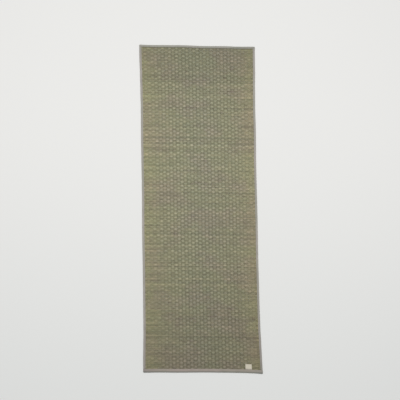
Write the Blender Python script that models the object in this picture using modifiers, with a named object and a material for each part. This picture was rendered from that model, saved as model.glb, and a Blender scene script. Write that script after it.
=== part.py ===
"""Tatami yoga mat: a woven rush sheet bound in folded cotton tape, with a small bare label, lying flat.

Metres, +Z up. The mat lies along Y with its head at +Y and rests on z = 0. The origin is the middle of the
underside of its box. Every piece is set out on a perfectly straight mat, and laid() then moves each point
to where the real, slightly uneven mat has it.
"""

from collections import namedtuple
from math import ceil, cos, floor, pi, radians, sin, sqrt

import bmesh
import bpy

MM = 0.001

# The bound mat, measured over its tapes where its edges run straight.
MAT_WIDTH = 0.600
MAT_LENGTH = 1.730

# The rush sheet, and its margin, which the tapes press thinner.
RUSH_THICKNESS = 3.2 * MM
MARGIN_THICKNESS = 1.6 * MM

# The binding tapes. A width is what shows of the tape on each face of the mat.
TAPE_THICKNESS = 1.0 * MM
SIDE_TAPE_WIDTH = 11.0 * MM
HEAD_TAPE_WIDTH = 11.0 * MM
FOOT_TAPE_WIDTH = 17.8 * MM

# The label, sewn on against the foot tape.
LABEL_WIDTH = 32.0 * MM
LABEL_LENGTH = 27.5 * MM
LABEL_THICKNESS = 1.0 * MM
LABEL_FROM_MIDDLE = 229.7 * MM

# The air between two pieces, the straight steps along an edge, and the steps of a tape's fold.
CLEARANCE = 0.3 * MM
EDGE_STEP = 25.0 * MM
FOLD_STEPS = 6

# Heights worked out from those thicknesses: a tape's two legs, with the margin between them.
TAPE_HEIGHT = MARGIN_THICKNESS + 2 * (TAPE_THICKNESS + CLEARANCE)
MARGIN_LOW = TAPE_THICKNESS + CLEARANCE
MARGIN_HIGH = MARGIN_LOW + MARGIN_THICKNESS

# A tape's fold is a half circle, so the margin stops where that half circle starts. At the mat's corners
# an end tape's last millimetres are pinched until only the air is left between its two legs.
FOLD_DEPTH = TAPE_HEIGHT / 2
PINCH_RUN = FOLD_DEPTH - CLEARANCE
PINCHED_HEIGHT = 2 * TAPE_THICKNESS + CLEARANCE

# How far each edge strays outward from the straight mat: along_m is the place along the edge, from the
# mat's middle, and out_mm the stray there. All four corners are drawn out, the foot's right one the most.
Stray = namedtuple("Stray", "along_m out_mm")
LEFT_EDGE = (
    Stray(along_m=-0.865, out_mm=3.4),
    Stray(along_m=-0.800, out_mm=3.6),
    Stray(along_m=-0.740, out_mm=2.0),
    Stray(along_m=-0.660, out_mm=0.2),
    Stray(along_m=-0.360, out_mm=-0.5),
    Stray(along_m=-0.150, out_mm=0.6),
    Stray(along_m=0.050, out_mm=-0.8),
    Stray(along_m=0.340, out_mm=0.4),
    Stray(along_m=0.520, out_mm=-0.2),
    Stray(along_m=0.620, out_mm=1.1),
    Stray(along_m=0.710, out_mm=2.3),
    Stray(along_m=0.810, out_mm=4.4),
    Stray(along_m=0.865, out_mm=3.8),
)
RIGHT_EDGE = (
    Stray(along_m=-0.865, out_mm=9.4),
    Stray(along_m=-0.790, out_mm=7.4),
    Stray(along_m=-0.710, out_mm=4.9),
    Stray(along_m=-0.630, out_mm=2.1),
    Stray(along_m=-0.500, out_mm=0.2),
    Stray(along_m=-0.250, out_mm=-0.9),
    Stray(along_m=-0.080, out_mm=0.1),
    Stray(along_m=0.200, out_mm=-1.0),
    Stray(along_m=0.430, out_mm=1.4),
    Stray(along_m=0.520, out_mm=0.4),
    Stray(along_m=0.630, out_mm=1.8),
    Stray(along_m=0.740, out_mm=4.4),
    Stray(along_m=0.865, out_mm=5.3),
)
HEAD_EDGE = (
    Stray(along_m=-0.300, out_mm=0.3),
    Stray(along_m=-0.250, out_mm=-0.9),
    Stray(along_m=-0.150, out_mm=0.5),
    Stray(along_m=-0.070, out_mm=1.5),
    Stray(along_m=0.040, out_mm=-1.0),
    Stray(along_m=0.150, out_mm=0.7),
    Stray(along_m=0.210, out_mm=-0.9),
    Stray(along_m=0.300, out_mm=0.6),
)
FOOT_EDGE = (
    Stray(along_m=-0.300, out_mm=1.5),
    Stray(along_m=-0.220, out_mm=0.1),
    Stray(along_m=-0.130, out_mm=0.6),
    Stray(along_m=0.010, out_mm=-0.9),
    Stray(along_m=0.110, out_mm=-0.3),
    Stray(along_m=0.200, out_mm=1.0),
    Stray(along_m=0.260, out_mm=3.0),
    Stray(along_m=0.300, out_mm=6.4),
)

# The collections for the mat and for the shapes that only help to make it.
MAT_COLLECTION = "tatami_yoga_mat"
HELPER_COLLECTION = "helpers"


def stray(edge, along):
    """How far an edge strays outward at a place along it, eased between the rows of its table."""
    for low, high in zip(edge, edge[1:]):
        if along <= high.along_m:
            break
    share = (along - low.along_m) / (high.along_m - low.along_m)
    share = min(max(share, 0.0), 1.0)
    eased = share * share * (3 - 2 * share)
    return (low.out_mm + (high.out_mm - low.out_mm) * eased) * MM


def unevenly(x, y):
    """Where a point of the straight mat lies once its edges stray. The middle lines stay where they are."""
    side = stray(RIGHT_EDGE if x > 0 else LEFT_EDGE, y)
    end = stray(HEAD_EDGE if y > 0 else FOOT_EDGE, x)
    return x * (1 + side / (MAT_WIDTH / 2)), y * (1 + end / (MAT_LENGTH / 2))


def rows_between(first, last):
    """The places first and last, and every whole EDGE_STEP from the mat's middle between them, so that all
    the pieces along an edge bend at the same places."""
    steps = range(ceil((first + CLEARANCE) / EDGE_STEP), floor((last - CLEARANCE) / EDGE_STEP) + 1)
    return [first] + [step * EDGE_STEP for step in steps] + [last]


def straight_outline(side_inset, head_inset, foot_inset):
    """A rectangle's outline on the straight mat, stepped along its edges, from its foot's left corner."""
    right = MAT_WIDTH / 2 - side_inset
    head = MAT_LENGTH / 2 - head_inset
    foot = foot_inset - MAT_LENGTH / 2
    across = rows_between(-right, right)
    along = rows_between(foot, head)
    foot_row = [(x, foot) for x in across[:-1]]
    right_row = [(right, y) for y in along[:-1]]
    head_row = [(x, head) for x in reversed(across[1:])]
    left_row = [(-right, y) for y in reversed(along[1:])]
    return foot_row + right_row + head_row + left_row


def middle_of_box():
    """The middle of the uneven mat's box, which becomes the origin."""
    points = [unevenly(x, y) for x, y in straight_outline(0, 0, 0)]
    xs, ys = zip(*points)
    return (min(xs) + max(xs)) / 2, (min(ys) + max(ys)) / 2


MIDDLE_X, MIDDLE_Y = middle_of_box()


def laid(x, y):
    """Where a point of the straight mat lies on the finished one."""
    real_x, real_y = unevenly(x, y)
    return real_x - MIDDLE_X, real_y - MIDDLE_Y


def clear_scene():
    """Removes every object, so that the script starts from nothing."""
    for old in list(bpy.data.objects):
        bpy.data.objects.remove(old, do_unlink=True)


def collection(name):
    """A collection of the scene, made if it isn't there."""
    found = bpy.data.collections.get(name)
    if found is None:
        found = bpy.data.collections.new(name)
        bpy.context.scene.collection.children.link(found)
    return found


def material(name, colour, roughness):
    """A Principled material with one colour."""
    made = bpy.data.materials.new(name)
    made.use_nodes = True
    shader = made.node_tree.nodes["Principled BSDF"]
    shader.inputs["Base Color"].default_value = (*colour, 1.0)
    shader.inputs["Roughness"].default_value = roughness
    shader.inputs["Metallic"].default_value = 0.0
    return made


def mesh_object(name, mesh, group, finish=None):
    """An object for a mesh, in one of the collections."""
    made = bpy.data.objects.new(name, mesh)
    if finish is not None:
        mesh.materials.append(finish)
    collection(group).objects.link(made)
    return made


def flat_sheet(name, outline, low, high, group, finish=None):
    """A flat piece of cloth from its outline on the straight mat: a filled 2D curve, then made a mesh."""
    curve = bpy.data.curves.new(name, "CURVE")
    curve.dimensions = "2D"
    curve.fill_mode = "BOTH"
    curve.extrude = (high - low) / 2
    spline = curve.splines.new("POLY")
    spline.points.add(len(outline) - 1)
    for point, (x, y) in zip(spline.points, outline):
        point.co = (*laid(x, y), 0.0, 1.0)
    spline.use_cyclic_u = True

    drawn = bpy.data.objects.new(name + "_outline", curve)
    drawn.location.z = (low + high) / 2
    bpy.context.scene.collection.objects.link(drawn)
    depsgraph = bpy.context.evaluated_depsgraph_get()
    mesh = bpy.data.meshes.new_from_object(drawn.evaluated_get(depsgraph))

    welded = bmesh.new()
    welded.from_mesh(mesh)
    bmesh.ops.remove_doubles(welded, verts=welded.verts, dist=0.01 * MM)
    bmesh.ops.transform(welded, matrix=drawn.matrix_world, verts=welded.verts)
    welded.to_mesh(mesh)
    welded.free()
    bpy.data.objects.remove(drawn, do_unlink=True)
    return mesh_object(name, mesh, group, finish)


def rush_panel(finish):
    """The woven sheet: thick where it shows, and pressed to a thinner margin where the tapes hold it."""
    field = straight_outline(
        SIDE_TAPE_WIDTH + CLEARANCE, HEAD_TAPE_WIDTH + CLEARANCE, FOOT_TAPE_WIDTH + CLEARANCE
    )
    margin = straight_outline(FOLD_DEPTH, FOLD_DEPTH, FOLD_DEPTH)
    panel = flat_sheet("rush_panel", field, 0.0, RUSH_THICKNESS, MAT_COLLECTION, finish)
    pressed = flat_sheet("pressed_margin", margin, MARGIN_LOW, MARGIN_HIGH, HELPER_COLLECTION)
    pressed.hide_render = True
    pressed.display_type = "WIRE"
    join = panel.modifiers.new("Margin", "BOOLEAN")
    join.operation = "UNION"
    join.solver = "EXACT"
    join.object = pressed
    return panel


def fold_section(width, height):
    """The middle line of a folded tape, as (distance in from the mat's edge, height) from its lower edge,
    round the half circle of the fold, to its upper edge."""
    radius = (height - TAPE_THICKNESS) / 2
    section = [(width, height / 2 - radius)]
    for step in range(FOLD_STEPS + 1):
        angle = radians(-90 + 180 * step / FOLD_STEPS)
        section.append((height / 2 - radius * cos(angle), height / 2 + radius * sin(angle)))
    section.append((width, height / 2 + radius))
    return section


def tape(name, width, stations, place, finish):
    """A folded tape: a grid whose rows follow the mat's edge and whose columns go round the fold.

    stations are pairs of a place along the edge and the tape's height there, and place(along, inward) is
    that point on the straight mat. Solidify then gives the tape its thickness.
    """
    columns = len(fold_section(width, TAPE_HEIGHT))
    grid = bmesh.new()
    bmesh.ops.create_grid(grid, x_segments=columns - 1, y_segments=len(stations) - 1, size=1.0)
    grid.verts.ensure_lookup_table()
    for row, (along, height) in enumerate(stations):
        for column, (inward, up) in enumerate(fold_section(width, height)):
            grid.verts[row * columns + column].co = (*laid(*place(along, inward)), up)
    mesh = bpy.data.meshes.new(name)
    grid.to_mesh(mesh)
    grid.free()
    mesh.shade_smooth()
    mesh.set_sharp_from_angle(angle=radians(40))

    made = mesh_object(name, mesh, MAT_COLLECTION, finish)
    cloth = made.modifiers.new("Cloth", "SOLIDIFY")
    cloth.thickness = TAPE_THICKNESS
    cloth.offset = 0.0
    return made


def side_tape(name, side, finish):
    """A tape over a long edge, side being -1 for the left one and 1 for the right one. It runs between the
    two end tapes."""
    foot = FOOT_TAPE_WIDTH + CLEARANCE - MAT_LENGTH / 2
    head = MAT_LENGTH / 2 - HEAD_TAPE_WIDTH - CLEARANCE
    stations = [(along, TAPE_HEIGHT) for along in rows_between(foot, head)]

    def place(along, inward):
        return side * (MAT_WIDTH / 2 - inward), along

    return tape(name, SIDE_TAPE_WIDTH, stations, place, finish)


def pinched_height(from_end):
    """An end tape's height near its turned-in end, which rounds down like a quarter circle."""
    share = min(from_end / PINCH_RUN, 1.0)
    return PINCHED_HEIGHT + (TAPE_HEIGHT - PINCHED_HEIGHT) * sqrt(1 - (1 - share) ** 2)


def end_tape(name, end, width, finish):
    """A tape over a short edge, end being -1 for the foot and 1 for the head. It runs over the mat's whole
    width, and its own ends are turned in."""
    corner = MAT_WIDTH / 2
    turned_in = [PINCH_RUN * (1 - cos(pi / 2 * step / 3)) for step in range(3)]
    stations = [(-corner + run, pinched_height(run)) for run in turned_in]
    stations += [(along, TAPE_HEIGHT) for along in rows_between(PINCH_RUN - corner, corner - PINCH_RUN)]
    stations += [(corner - run, pinched_height(run)) for run in reversed(turned_in)]

    def place(along, inward):
        return along, end * (MAT_LENGTH / 2 - inward)

    return tape(name, width, stations, place, finish)


def sewn_label(finish):
    """The label, a flat rectangle of cloth on the rush, with its lower edge against the foot tape."""
    low = RUSH_THICKNESS + CLEARANCE
    foot = FOOT_TAPE_WIDTH + CLEARANCE - MAT_LENGTH / 2
    right = LABEL_FROM_MIDDLE + LABEL_WIDTH / 2
    left = LABEL_FROM_MIDDLE - LABEL_WIDTH / 2
    head = foot + LABEL_LENGTH
    outline = [(left, foot), (right, foot), (right, head), (left, head)]
    return flat_sheet("sewn_label", outline, low, low + LABEL_THICKNESS, MAT_COLLECTION, finish)


def build():
    """The whole mat."""
    clear_scene()
    rush = material("woven_rush", (0.262, 0.250, 0.168), 0.72)
    cotton = material("cotton_tape", (0.352, 0.330, 0.298), 0.88)
    cream = material("label_cotton", (0.604, 0.539, 0.462), 0.85)
    rush_panel(rush)
    side_tape("side_tape_left", -1, cotton)
    side_tape("side_tape_right", 1, cotton)
    end_tape("end_tape_head", 1, HEAD_TAPE_WIDTH, cotton)
    end_tape("end_tape_foot", -1, FOOT_TAPE_WIDTH, cotton)
    sewn_label(cream)


build()
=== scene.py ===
# %% [markdown]
# A tatami yoga mat is a sheet of woven rush, bound along all four edges in folded cotton tape. This
# lesson dresses the plain solids of such a mat: first the frame that everything has to fit, then the
# camera and the light, then the weave, rush by rush, and last the tapes, their sewing and the label.

# %% Load the frame
from math import cos, exp, pi, radians, sin, sqrt

import bmesh
import bpy
import numpy as np
from mathutils import Matrix, Vector


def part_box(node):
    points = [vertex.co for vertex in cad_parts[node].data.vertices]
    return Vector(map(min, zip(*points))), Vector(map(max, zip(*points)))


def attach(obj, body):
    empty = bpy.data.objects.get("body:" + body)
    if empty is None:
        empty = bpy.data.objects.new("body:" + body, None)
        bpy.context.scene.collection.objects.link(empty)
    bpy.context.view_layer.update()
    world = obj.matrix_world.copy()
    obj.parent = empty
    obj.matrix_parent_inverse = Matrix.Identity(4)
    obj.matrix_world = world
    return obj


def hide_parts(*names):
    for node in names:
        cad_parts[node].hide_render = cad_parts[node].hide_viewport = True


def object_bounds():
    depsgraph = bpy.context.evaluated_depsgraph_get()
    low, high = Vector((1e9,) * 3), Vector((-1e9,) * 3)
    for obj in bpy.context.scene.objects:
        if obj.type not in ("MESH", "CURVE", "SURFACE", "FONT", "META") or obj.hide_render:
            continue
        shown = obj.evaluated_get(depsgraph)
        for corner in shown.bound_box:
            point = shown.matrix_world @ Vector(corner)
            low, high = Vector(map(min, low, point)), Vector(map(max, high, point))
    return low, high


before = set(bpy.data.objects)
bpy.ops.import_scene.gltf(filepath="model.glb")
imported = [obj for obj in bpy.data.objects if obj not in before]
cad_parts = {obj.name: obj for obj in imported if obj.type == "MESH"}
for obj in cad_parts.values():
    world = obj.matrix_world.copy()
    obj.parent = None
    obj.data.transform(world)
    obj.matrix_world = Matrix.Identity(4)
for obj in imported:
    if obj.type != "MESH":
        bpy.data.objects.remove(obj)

cad_low, cad_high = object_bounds()
print("the solids' box:", [round(size, 4) for size in cad_high - cad_low])

# %% [markdown]
# The sizes are those of the solids, apart from the label's thickness, which is real cloth's. All pieces
# are set out on a perfectly straight mat, in metres, with its middle at zero. Only at the end does each
# point go to where the real, slightly uneven mat has it, so the maths of the weave stays simple.

# %% Sizes of the straight mat
MM = 0.001
MAT_WIDTH = 0.600
MAT_LENGTH = 1.730
SIDE_TAPE_WIDTH = 11.0 * MM
HEAD_TAPE_WIDTH = 11.0 * MM
FOOT_TAPE_WIDTH = 17.8 * MM
LABEL_WIDTH = 32.0 * MM
LABEL_LENGTH = 27.5 * MM
LABEL_THICKNESS = 0.5 * MM
LABEL_FROM_MIDDLE = 229.7 * MM
TAPE_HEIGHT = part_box("side_tape_left")[1].z
RUSH_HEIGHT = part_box("rush_panel")[1].z
HALF_WIDTH = MAT_WIDTH / 2
HALF_LENGTH = MAT_LENGTH / 2
# Where the free edges of the tapes lie, measured from the mat's middle.
SIDE_EDGE = HALF_WIDTH - SIDE_TAPE_WIDTH
HEAD_EDGE = HALF_LENGTH - HEAD_TAPE_WIDTH
FOOT_EDGE = FOOT_TAPE_WIDTH - HALF_LENGTH
print("tapes stand", round(TAPE_HEIGHT / MM, 2), "mm high, the rush", round(RUSH_HEIGHT / MM, 2), "mm")

# %% [markdown]
# Where do the real edges run? The solids of the tapes know it. Half-way up its fold, each tape has a row
# of points that is exactly the mat's outline, so those points are picked out here. Between two of them
# the edge is straight.

# %% Find the mat's uneven edges
X_AXIS = 0
Y_AXIS = 1
SAME_HEIGHT = 0.05 * MM
SAME_PLACE = 5 * MM


def edge_line(node, along, across, outward):
    """A tape's outermost points, as an array of places along the edge and one of places across it, with
    both ends carried straight on."""
    found = {}
    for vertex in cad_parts[node].data.vertices:
        if abs(vertex.co.z - TAPE_HEIGHT / 2) < SAME_HEIGHT:
            key = round(vertex.co[along] / SAME_PLACE)
            spot = (vertex.co[along], vertex.co[across])
            if key not in found or outward * spot[1] > outward * found[key][1]:
                found[key] = spot
    places, offsets = np.array(sorted(found.values())).T
    reach = cad_high[along]
    slopes = np.diff(offsets)[[0, -1]] / np.diff(places)[[0, -1]]
    first = offsets[0] - slopes[0] * (places[0] + reach)
    last = offsets[-1] + slopes[1] * (reach - places[-1])
    return np.r_[-reach, places, reach], np.r_[first, offsets, last]


LEFT_LINE = edge_line("side_tape_left", Y_AXIS, X_AXIS, -1)
RIGHT_LINE = edge_line("side_tape_right", Y_AXIS, X_AXIS, 1)
HEAD_LINE = edge_line("end_tape_head", X_AXIS, Y_AXIS, 1)
FOOT_LINE = edge_line("end_tape_foot", X_AXIS, Y_AXIS, -1)
print("places on the left edge:", len(LEFT_LINE[0]), "and on the foot:", len(FOOT_LINE[0]))


def laid(x, y):
    """Where places on the straight mat lie on the real one. x and y may be numbers or arrays."""
    share_x = x / MAT_WIDTH + 0.5
    share_y = y / MAT_LENGTH + 0.5
    rough_x = cad_low.x + (cad_high.x - cad_low.x) * share_x
    rough_y = cad_low.y + (cad_high.y - cad_low.y) * share_y
    left = np.interp(rough_y, *LEFT_LINE)
    right = np.interp(rough_y, *RIGHT_LINE)
    foot = np.interp(rough_x, *FOOT_LINE)
    head = np.interp(rough_x, *HEAD_LINE)
    return left + (right - left) * share_x, foot + (head - foot) * share_y


# %% [markdown]
# The photograph looks down on the mat from far away with a long lens, a little from its foot and its
# left. The mat's corners fix that view: a rectangle of this size lands on them from thirteen and a half
# metres. The camera's axes are built by hand, because from so high "up" has to mean the mat's head.

# %% Place the camera
CAMERA_LENS = 235.5
CAMERA_DISTANCE = 13.525
CAMERA_AZIMUTH = radians(-29.42)
CAMERA_ELEVATION = radians(75.15)
CAMERA_ROLL = radians(0.98)
CAMERA_AIM = Vector((-0.0006, 0.0390, 0.0))


def new_object(name, data):
    """An object for that data, in the scene."""
    made = bpy.data.objects.new(name, data)
    bpy.context.scene.collection.objects.link(made)
    return made


back = Vector((
    sin(CAMERA_AZIMUTH) * cos(CAMERA_ELEVATION),
    -cos(CAMERA_AZIMUTH) * cos(CAMERA_ELEVATION),
    sin(CAMERA_ELEVATION),
))
right = Vector((0, 1, 0)).cross(back).normalized()
up = back.cross(right)
level = Matrix((right, up, back)).transposed()
optics = bpy.data.cameras.new("photo_camera")
optics.lens = CAMERA_LENS
optics.clip_end = 100
camera = new_object("photo_camera", optics)
camera.matrix_world = (
    Matrix.Translation(CAMERA_AIM + back * CAMERA_DISTANCE)
    @ level.to_4x4()
    @ Matrix.Rotation(-CAMERA_ROLL, 4, "Z")
)
bpy.context.scene.camera = camera
print("camera at", [round(value, 2) for value in camera.location])

# %% [markdown]
# A node tree is easier to read when a node, its settings and what feeds it are one line. The first
# helper does that, and names each input by its name or its number. The rest are the few combinations
# that every material below is built with.

# %% Helpers for node trees


def add_node(tree, kind, inputs=None, **settings):
    """A shader node. A value of inputs that is a socket is linked, and any other is set."""
    made = tree.nodes.new("ShaderNode" + kind)
    for name, value in settings.items():
        setattr(made, name, value)
    for name, value in (inputs or {}).items():
        if isinstance(value, bpy.types.NodeSocket):
            tree.links.new(value, made.inputs[name])
        else:
            made.inputs[name].default_value = value
    return made


def maths(tree, operation, first, second=0.0, third=0.0):
    """The output of a Math node."""
    return add_node(tree, "Math", {0: first, 1: second, 2: third}, operation=operation).outputs[0]


def smooth_range(tree, value, low, high, out_low=0.0, out_high=1.0):
    """The output of a Map Range node that eases from out_low to out_high."""
    inputs = {"Value": value, 1: low, 2: high, 3: out_low, 4: out_high}
    return add_node(tree, "MapRange", inputs, interpolation_type="SMOOTHSTEP").outputs["Result"]


def blended(tree, mode, factor, first, second):
    """The output of a colour Mix node."""
    inputs = {0: factor, 6: first, 7: second}
    return add_node(tree, "Mix", inputs, data_type="RGBA", blend_type=mode).outputs[2]


print("node helpers are ready")

# %% Helpers for materials


def axes_of(tree, vector):
    """The outputs "X", "Y" and "Z" of a vector."""
    return add_node(tree, "SeparateXYZ", {"Vector": vector}).outputs


def grey_of(tree, tone):
    """The grey colour of a tone."""
    return add_node(tree, "CombineColor", {0: tone, 1: tone, 2: tone}).outputs["Color"]


def object_place(tree):
    """Each point's place on the mat."""
    return add_node(tree, "TexCoord").outputs["Object"]


def stored_value(tree, name):
    """The number that a mesh stores for its points under that name."""
    return add_node(tree, "Attribute", attribute_name=name).outputs["Fac"]


def scaled(tree, place, scale):
    """A place with each axis multiplied by its own scale."""
    return add_node(tree, "Mapping", {"Vector": place, "Scale": scale}).outputs["Vector"]


def stretched_noise(tree, place, scale, detail=2.0):
    """Noise that is stretched by giving each axis its own scale, as one grey output around 0.5."""
    spread = scaled(tree, place, scale)
    inputs = {"Vector": spread, "Scale": 1.0, "Detail": detail, "Roughness": 0.55}
    return add_node(tree, "TexNoise", inputs).outputs["Fac"]


def new_material(name, roughness, specular=0.5, sheen=0.0):
    """A material with its Principled shader: returns the material, its tree and the shader."""
    made = bpy.data.materials.new(name)
    made.use_nodes = True
    shader = made.node_tree.nodes["Principled BSDF"]
    shader.inputs["Roughness"].default_value = roughness
    shader.inputs["Specular IOR Level"].default_value = specular
    shader.inputs["Sheen Weight"].default_value = sheen
    return made, made.node_tree, shader


def paint(tree, shader, colour, height=None, strength=0.0, distance=0.0):
    """Gives the shader its colour and, where a height is given, a bump of that strength."""
    tree.links.new(colour, shader.inputs["Base Color"])
    if height is not None:
        inputs = {"Height": height, "Strength": strength, "Distance": distance}
        bump = add_node(tree, "Bump", inputs)
        tree.links.new(bump.outputs["Normal"], shader.inputs["Normal"])


print("material helpers are ready")

# %% [markdown]
# The studio is as plain as the photograph's: a pale floor that runs out of sight, a pale sky for soft
# light from everywhere, and one very wide lamp high over the mat's head, pointing straight down. It makes
# the head a little brighter than the foot, and the mat's low edge throws hardly any shadow. The floor's
# colour also darkens a little towards the foot, which is painted shade added to the lamp's fall-off.

# %% Build the studio
FLOOR_SIZE = 60.0
# The floor's colour darkens towards the foot: painted shade that adds to the lamp's fall-off.
FLOOR_SHADE_FADE = (-1.2, 0.6)
FLOOR_SHADED_NEAR = (0.758, 0.768, 0.760, 1.0)
FLOOR_FAR = (0.815, 0.814, 0.803, 1.0)
SKY_COLOUR = (0.98, 0.99, 1.0, 1.0)
SKY_STRENGTH = 0.42
LAMP_PLACE = (-0.1, 0.7, 5.5)
LAMP_COLOUR = (1.0, 0.99, 0.97)
LAMP_WIDTH = 5.0
LAMP_DEPTH = 2.4
LAMP_POWER = 214.0


def mesh_of(shape, name):
    """The mesh of a bmesh that is finished, which is freed."""
    mesh = bpy.data.meshes.new(name)
    shape.to_mesh(mesh)
    shape.free()
    return mesh


def new_piece(name, mesh, finish):
    """A finished piece: an object for the mesh, smooth, with its material."""
    mesh.shade_smooth()
    mesh.update()
    mesh.materials.append(finish)
    return new_object(name, mesh)


ground = bmesh.new()
bmesh.ops.create_grid(ground, x_segments=1, y_segments=1, size=FLOOR_SIZE / 2)
paper, tree, shader = new_material("floor_paper", 0.9, specular=0.1)
# Painted shade: the floor is darker towards the foot.
far = smooth_range(tree, axes_of(tree, object_place(tree))["Y"], *FLOOR_SHADE_FADE)
paint(tree, shader, blended(tree, "MIX", far, FLOOR_SHADED_NEAR, FLOOR_FAR))
floor = new_piece("studio_floor", mesh_of(ground, "studio_floor"), paper)

sky = bpy.data.worlds.new("studio_sky")
sky.use_nodes = True
sky_light = sky.node_tree.nodes["Background"]
sky_light.inputs["Color"].default_value = SKY_COLOUR
sky_light.inputs["Strength"].default_value = SKY_STRENGTH
bpy.context.scene.world = sky

lamp_light = bpy.data.lights.new("studio_lamp", "AREA")
lamp_light.shape = "RECTANGLE"
lamp_light.size = LAMP_WIDTH
lamp_light.size_y = LAMP_DEPTH
lamp_light.energy = LAMP_POWER
lamp_light.color = LAMP_COLOUR
lamp = new_object("studio_lamp", lamp_light)
lamp.location = LAMP_PLACE
lamp.visible_camera = False
bpy.context.scene.view_settings.view_transform = "Standard"
print("floor, sky and lamp are up")

# %% [markdown]
# Now the weave. Rushes are the weft: each is one thin stalk that crosses the whole width of the mat.
# Five neighbours go the same way together, over one column and under the next, and the five after them
# do the opposite. What shows is a checkerboard of small raised cushions, each 18 mm wide and 10 mm long.

# %% Sizes of the weave
COLUMNS = 33
ROWS = 166
RUSHES_PER_ROW = 5
RUSH_COUNT = ROWS * RUSHES_PER_ROW
WEAVE_INSET = 2.4 * MM
WEAVE_WIDTH = MAT_WIDTH - 2 * WEAVE_INSET
WEAVE_LENGTH = MAT_LENGTH - 2 * WEAVE_INSET
COLUMN_WIDTH = WEAVE_WIDTH / COLUMNS
ROW_LENGTH = WEAVE_LENGTH / ROWS
RUSH_PITCH = ROW_LENGTH / RUSHES_PER_ROW
MIDDLE_HEIGHT = RUSH_HEIGHT / 2
RUSH_RISE = 0.70 * MM
CROWN = 0.32 * MM
RUSH_HALF_THICK = MIDDLE_HEIGHT - RUSH_RISE - CROWN
print("one block is", round(COLUMN_WIDTH / MM, 2), "by", round(ROW_LENGTH / MM, 2), "mm")

# %% [markdown]
# A rush could be a curve with a bevel, but eight hundred curves are slow. A four-sided tube is enough:
# its top edge is the stalk's crest, and smooth shading rounds it. It starts as a cone with two equal
# ends, laid on its side, and its long edges are then cut so that it can bend three times a column.

# %% Make one rush
CUTS_PER_COLUMN = 3


def lying_tube(cuts, axis):
    """A tube one unit long and of radius one, along X or Y, cut across into that many lengths."""
    tube = bmesh.new()
    bmesh.ops.create_cone(tube, cap_ends=True, segments=4, radius1=1, radius2=1, depth=1)
    turn = Matrix.Rotation(pi / 2, 3, "Y" if axis == X_AXIS else "X")
    bmesh.ops.rotate(tube, verts=tube.verts, matrix=turn)
    long_edges = []
    for edge in tube.edges:
        start, end = edge.verts
        if abs(start.co[axis] - end.co[axis]) > 0.5:
            long_edges.append(edge)
    bmesh.ops.subdivide_edges(tube, edges=long_edges, cuts=cuts - 1, use_grid_fill=True)
    return mesh_of(tube, "lying_tube")


def vertex_places(mesh):
    """All vertex places of a mesh, as an array with a row for each."""
    flat = np.empty(len(mesh.vertices) * 3)
    mesh.vertices.foreach_get("co", flat)
    return flat.reshape(-1, 3)


RUSH = lying_tube(COLUMNS * CUTS_PER_COLUMN, X_AXIS)
RUSH_SHAPE = vertex_places(RUSH)
print("one rush has", len(RUSH_SHAPE), "points and", len(RUSH.polygons), "faces")

# %% [markdown]
# Real stalks aren't alike. Each gets its own thickness, small shift and tint, drawn from one seeded
# generator so that every run weaves the same mat. The material later reads the tint from the mesh.

# %% Give each rush its own character
WEAVE_SEED = 11
chance = np.random.default_rng(WEAVE_SEED)
RUSH_THICKNESS = chance.normal(1.0, 0.07, RUSH_COUNT).clip(0.82, 1.14)
RUSH_SHIFT = chance.normal(0.0, 0.09, RUSH_COUNT) * MM
RUSH_LIFT = chance.normal(0.0, 0.05, RUSH_COUNT) * MM
RUSH_TINT = chance.beta(2.2, 2.2, RUSH_COUNT)
RUSH_WAVE = chance.uniform(0, 2 * pi, RUSH_COUNT)
ROW_LOOSENESS = chance.normal(1.0, 0.08, ROWS).clip(0.8, 1.2)
CUSHION_RISE = chance.normal(0.82, 0.22, (ROWS, COLUMNS)).clip(0.25, 1.15)
CUSHION_TINT = chance.normal(0.0, 0.16, (ROWS, COLUMNS))
print("thinnest rush", round(RUSH_THICKNESS.min(), 2), "and thickest", round(RUSH_THICKNESS.max(), 2))

# %% [markdown]
# The tapes squeeze the rush. Under a tape the weave has to fit the slot between the tape's two legs,
# which is half as high as the open weave and starts a little above the floor. These functions give, for
# any place, how much of the weave's height is left and where its middle lies.

# %% Squeeze the weave under the tapes
SQUEEZED = 0.5
SQUEEZED_MIDDLE = TAPE_HEIGHT / 2
SQUEEZE_START = 6.0 * MM
SQUEEZE_END = -2.0 * MM


def eased(value, low, high):
    """Goes smoothly from 0 at low to 1 at high."""
    share = np.clip((value - low) / (high - low), 0.0, 1.0)
    return share * share * (3 - 2 * share)


def openness(x, y):
    """1 in the open field of the mat, and 0 under its tapes."""
    from_end = np.minimum(HEAD_EDGE - y, y - FOOT_EDGE)
    return eased(np.minimum(from_end, SIDE_EDGE - abs(x)), SQUEEZE_END, SQUEEZE_START)


def settled(x, y, height):
    """The height above the floor of a point of the weave that lies that far over the weave's middle."""
    free = openness(x, y)
    middle = SQUEEZED_MIDDLE + (MIDDLE_HEIGHT - SQUEEZED_MIDDLE) * free
    return middle + height * (SQUEEZED + (1 - SQUEEZED) * free)


crests = [round(float(settled(x, 0.0, MIDDLE_HEIGHT)) / MM, 2) for x in (0.0, HALF_WIDTH)]
print("the crests of the rush, in the open and under a tape:", crests, "mm")

# %% [markdown]
# Near the mat's sides the rush is calmer: the cushions fade there and long level streaks take over. The
# calm strip is wider on the left, and widens and grows calmer towards the foot. So this function gives,
# for any place, how much of its full rise the weave has.

# %% Calm the weave near the sides
LEFT_CALM_REACH = 150.0 * MM
LEFT_CALM_REACH_AT_FOOT = 225.0 * MM
RIGHT_CALM_REACH = 125.0 * MM
CALM_SHARE = 0.55
CALM_SHARE_AT_FOOT = 0.66
CALM_FROM = 0.20
CALM_FULL = -0.60


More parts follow.
